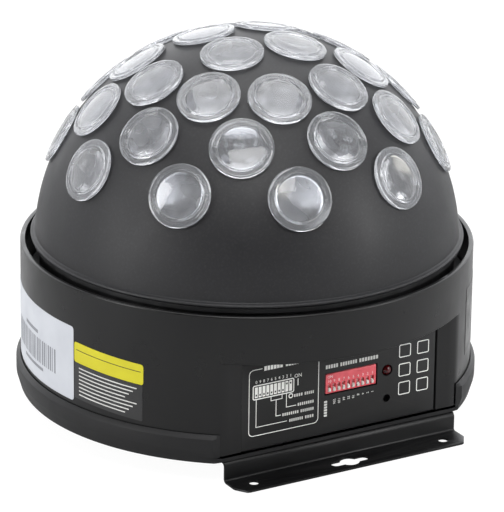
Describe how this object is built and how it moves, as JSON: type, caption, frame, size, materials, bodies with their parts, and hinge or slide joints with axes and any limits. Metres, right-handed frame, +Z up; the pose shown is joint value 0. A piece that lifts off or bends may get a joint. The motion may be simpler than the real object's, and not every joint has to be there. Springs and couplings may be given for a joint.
{
  "type": "rotating led ball light",
  "caption": "Half-ball stage light: a dark dome with round clear lenses turns in a flat-sided drum base with a switch panel, rear connectors and Z-bent mounting brackets.",
  "frame": {"origin": "on the floor under the dome's axis, at the bottom centre of the box around the light", "axes": "+Z up along the axis that the dome turns on; -Y faces out of the switch panel and +Y out of the connector panel; +X runs along both panels, to the right as the switch panel is read"},
  "size_m": [0.2172, 0.2124, 0.1806],
  "materials": {
    "drum_coat": "satin black powder coat",
    "bracket_coat": "satin black powder coat",
    "panel_coat": "satin black coat with white line print",
    "dome_plastic": "matte dark grey moulding",
    "clear_lens": "clear moulded lens",
    "switch_red": "red moulding",
    "lever_white": "white moulding",
    "lamp_red": "tinted clear lamp",
    "black_plastic": "black moulding",
    "zinc_steel": "bright zinc plate",
    "aluminium_fins": "extruded, plain",
    "white_nylon": "natural white moulding",
    "circuit_board": "green board",
    "transformer_tape": "yellow tape over a ferrite core"
  },
  "bodies": {
    "base": {"drum_shell": "drum_coat", "base_pan": "drum_coat", "front_bracket": "bracket_coat", "rear_bracket": "bracket_coat", "bracket_screw_1": "zinc_steel", "bracket_screw_2": "zinc_steel", "bracket_screw_3": "zinc_steel", "bracket_screw_4": "zinc_steel", "control_panel": "panel_coat", "control_board": "circuit_board", "address_switch_body": "switch_red", "status_lamp": "lamp_red", "microphone": "black_plastic", "rear_panel": "panel_coat", "mains_inlet": "black_plastic", "fuse_holder": "black_plastic", "fuse_cap": "black_plastic", "signal_input": "black_plastic", "signal_output": "black_plastic", "deck_plate": "bracket_coat", "deck_post_1": "zinc_steel", "deck_post_2": "zinc_steel", "deck_post_3": "zinc_steel", "deck_post_4": "zinc_steel", "motor_gearbox": "zinc_steel", "drive_motor": "zinc_steel", "roller_axle_1": "zinc_steel", "roller_axle_2": "zinc_steel", "roller_axle_3": "zinc_steel", "heat_sink": "aluminium_fins", "led_board": "aluminium_fins", "led_optic": "clear_lens", "fan_frame": "black_plastic", "power_board": "circuit_board", "power_transformer": "transformer_tape", "power_capacitor_1": "black_plastic", "power_capacitor_2": "black_plastic"},
    "dome": {"dome_shell": "dome_plastic", "ring_gear": "black_plastic", "lens_ring_a": "clear_lens", "lens_ring_b": "clear_lens", "lens_ring_c": "clear_lens", "lens_ring_d": "clear_lens"},
    "pinion": {"drive_pinion": "white_nylon"},
    "fan": {"fan_rotor": "black_plastic"},
    "latch": {"signal_output_latch": "zinc_steel"},
    "roller_1": {"guide_roller_1": "white_nylon"},
    "roller_2": {"guide_roller_2": "white_nylon"},
    "roller_3": {"guide_roller_3": "white_nylon"},
    "lever_01": {"switch_lever_01": "lever_white"},
    "lever_02": {"switch_lever_02": "lever_white"},
    "lever_03": {"switch_lever_03": "lever_white"},
    "lever_04": {"switch_lever_04": "lever_white"},
    "lever_05": {"switch_lever_05": "lever_white"},
    "lever_06": {"switch_lever_06": "lever_white"},
    "lever_07": {"switch_lever_07": "lever_white"},
    "lever_08": {"switch_lever_08": "lever_white"},
    "lever_09": {"switch_lever_09": "lever_white"},
    "lever_10": {"switch_lever_10": "lever_white"}
  },
  "joints": [
    {"name": "dome_spin", "type": "hinge", "parent": "base", "child": "dome", "pos_m": [0, 0, 0.081], "axis": [0, 0, 1], "continuous": true},
    {"name": "pinion_spin", "type": "hinge", "parent": "base", "child": "pinion", "pos_m": [0.0675, 0, 0.07], "axis": [0, 0, 1], "continuous": true},
    {"name": "roller_1_spin", "type": "hinge", "parent": "base", "child": "roller_1", "pos_m": [0.04185, 0.07249, 0.0688], "axis": [0, 0, 1], "continuous": true},
    {"name": "roller_2_spin", "type": "hinge", "parent": "base", "child": "roller_2", "pos_m": [-0.0837, 0, 0.0688], "axis": [0, 0, 1], "continuous": true},
    {"name": "roller_3_spin", "type": "hinge", "parent": "base", "child": "roller_3", "pos_m": [0.04185, -0.07249, 0.0688], "axis": [0, 0, 1], "continuous": true},
    {"name": "fan_spin", "type": "hinge", "parent": "base", "child": "fan", "pos_m": [0, 0, 0.053], "axis": [0, 0, 1], "continuous": true},
    {"name": "lever_01_slide", "type": "slide", "parent": "base", "child": "lever_01", "axis": [0, 0, 1], "range_m": [0, 0.0016]},
    {"name": "lever_02_slide", "type": "slide", "parent": "base", "child": "lever_02", "axis": [0, 0, 1], "range_m": [0, 0.0016]},
    {"name": "lever_03_slide", "type": "slide", "parent": "base", "child": "lever_03", "axis": [0, 0, 1], "range_m": [0, 0.0016]},
    {"name": "lever_04_slide", "type": "slide", "parent": "base", "child": "lever_04", "axis": [0, 0, 1], "range_m": [0, 0.0016]},
    {"name": "lever_05_slide", "type": "slide", "parent": "base", "child": "lever_05", "axis": [0, 0, 1], "range_m": [0, 0.0016]},
    {"name": "lever_06_slide", "type": "slide", "parent": "base", "child": "lever_06", "axis": [0, 0, 1], "range_m": [0, 0.0016]},
    {"name": "lever_07_slide", "type": "slide", "parent": "base", "child": "lever_07", "axis": [0, 0, 1], "range_m": [0, 0.0016]},
    {"name": "lever_08_slide", "type": "slide", "parent": "base", "child": "lever_08", "axis": [0, 0, 1], "range_m": [0, 0.0016]},
    {"name": "lever_09_slide", "type": "slide", "parent": "base", "child": "lever_09", "axis": [0, 0, 1], "range_m": [0, 0.0016]},
    {"name": "lever_10_slide", "type": "slide", "parent": "base", "child": "lever_10", "axis": [0, 0, 1], "range_m": [0, 0.0016]},
    {"name": "latch_press", "type": "slide", "parent": "base", "child": "latch", "axis": [0, -1, 0], "range_m": [0, 0.0015], "stiffness_N_per_m": 400, "springref_m": -0.0005}
  ],
  "couplings": [
    {"joint": "pinion_spin", "follows": "dome_spin", "ratio": 4},
    {"joint": "roller_1_spin", "follows": "dome_spin", "ratio": 15},
    {"joint": "roller_2_spin", "follows": "dome_spin", "ratio": 15},
    {"joint": "roller_3_spin", "follows": "dome_spin", "ratio": 15}
  ]
}
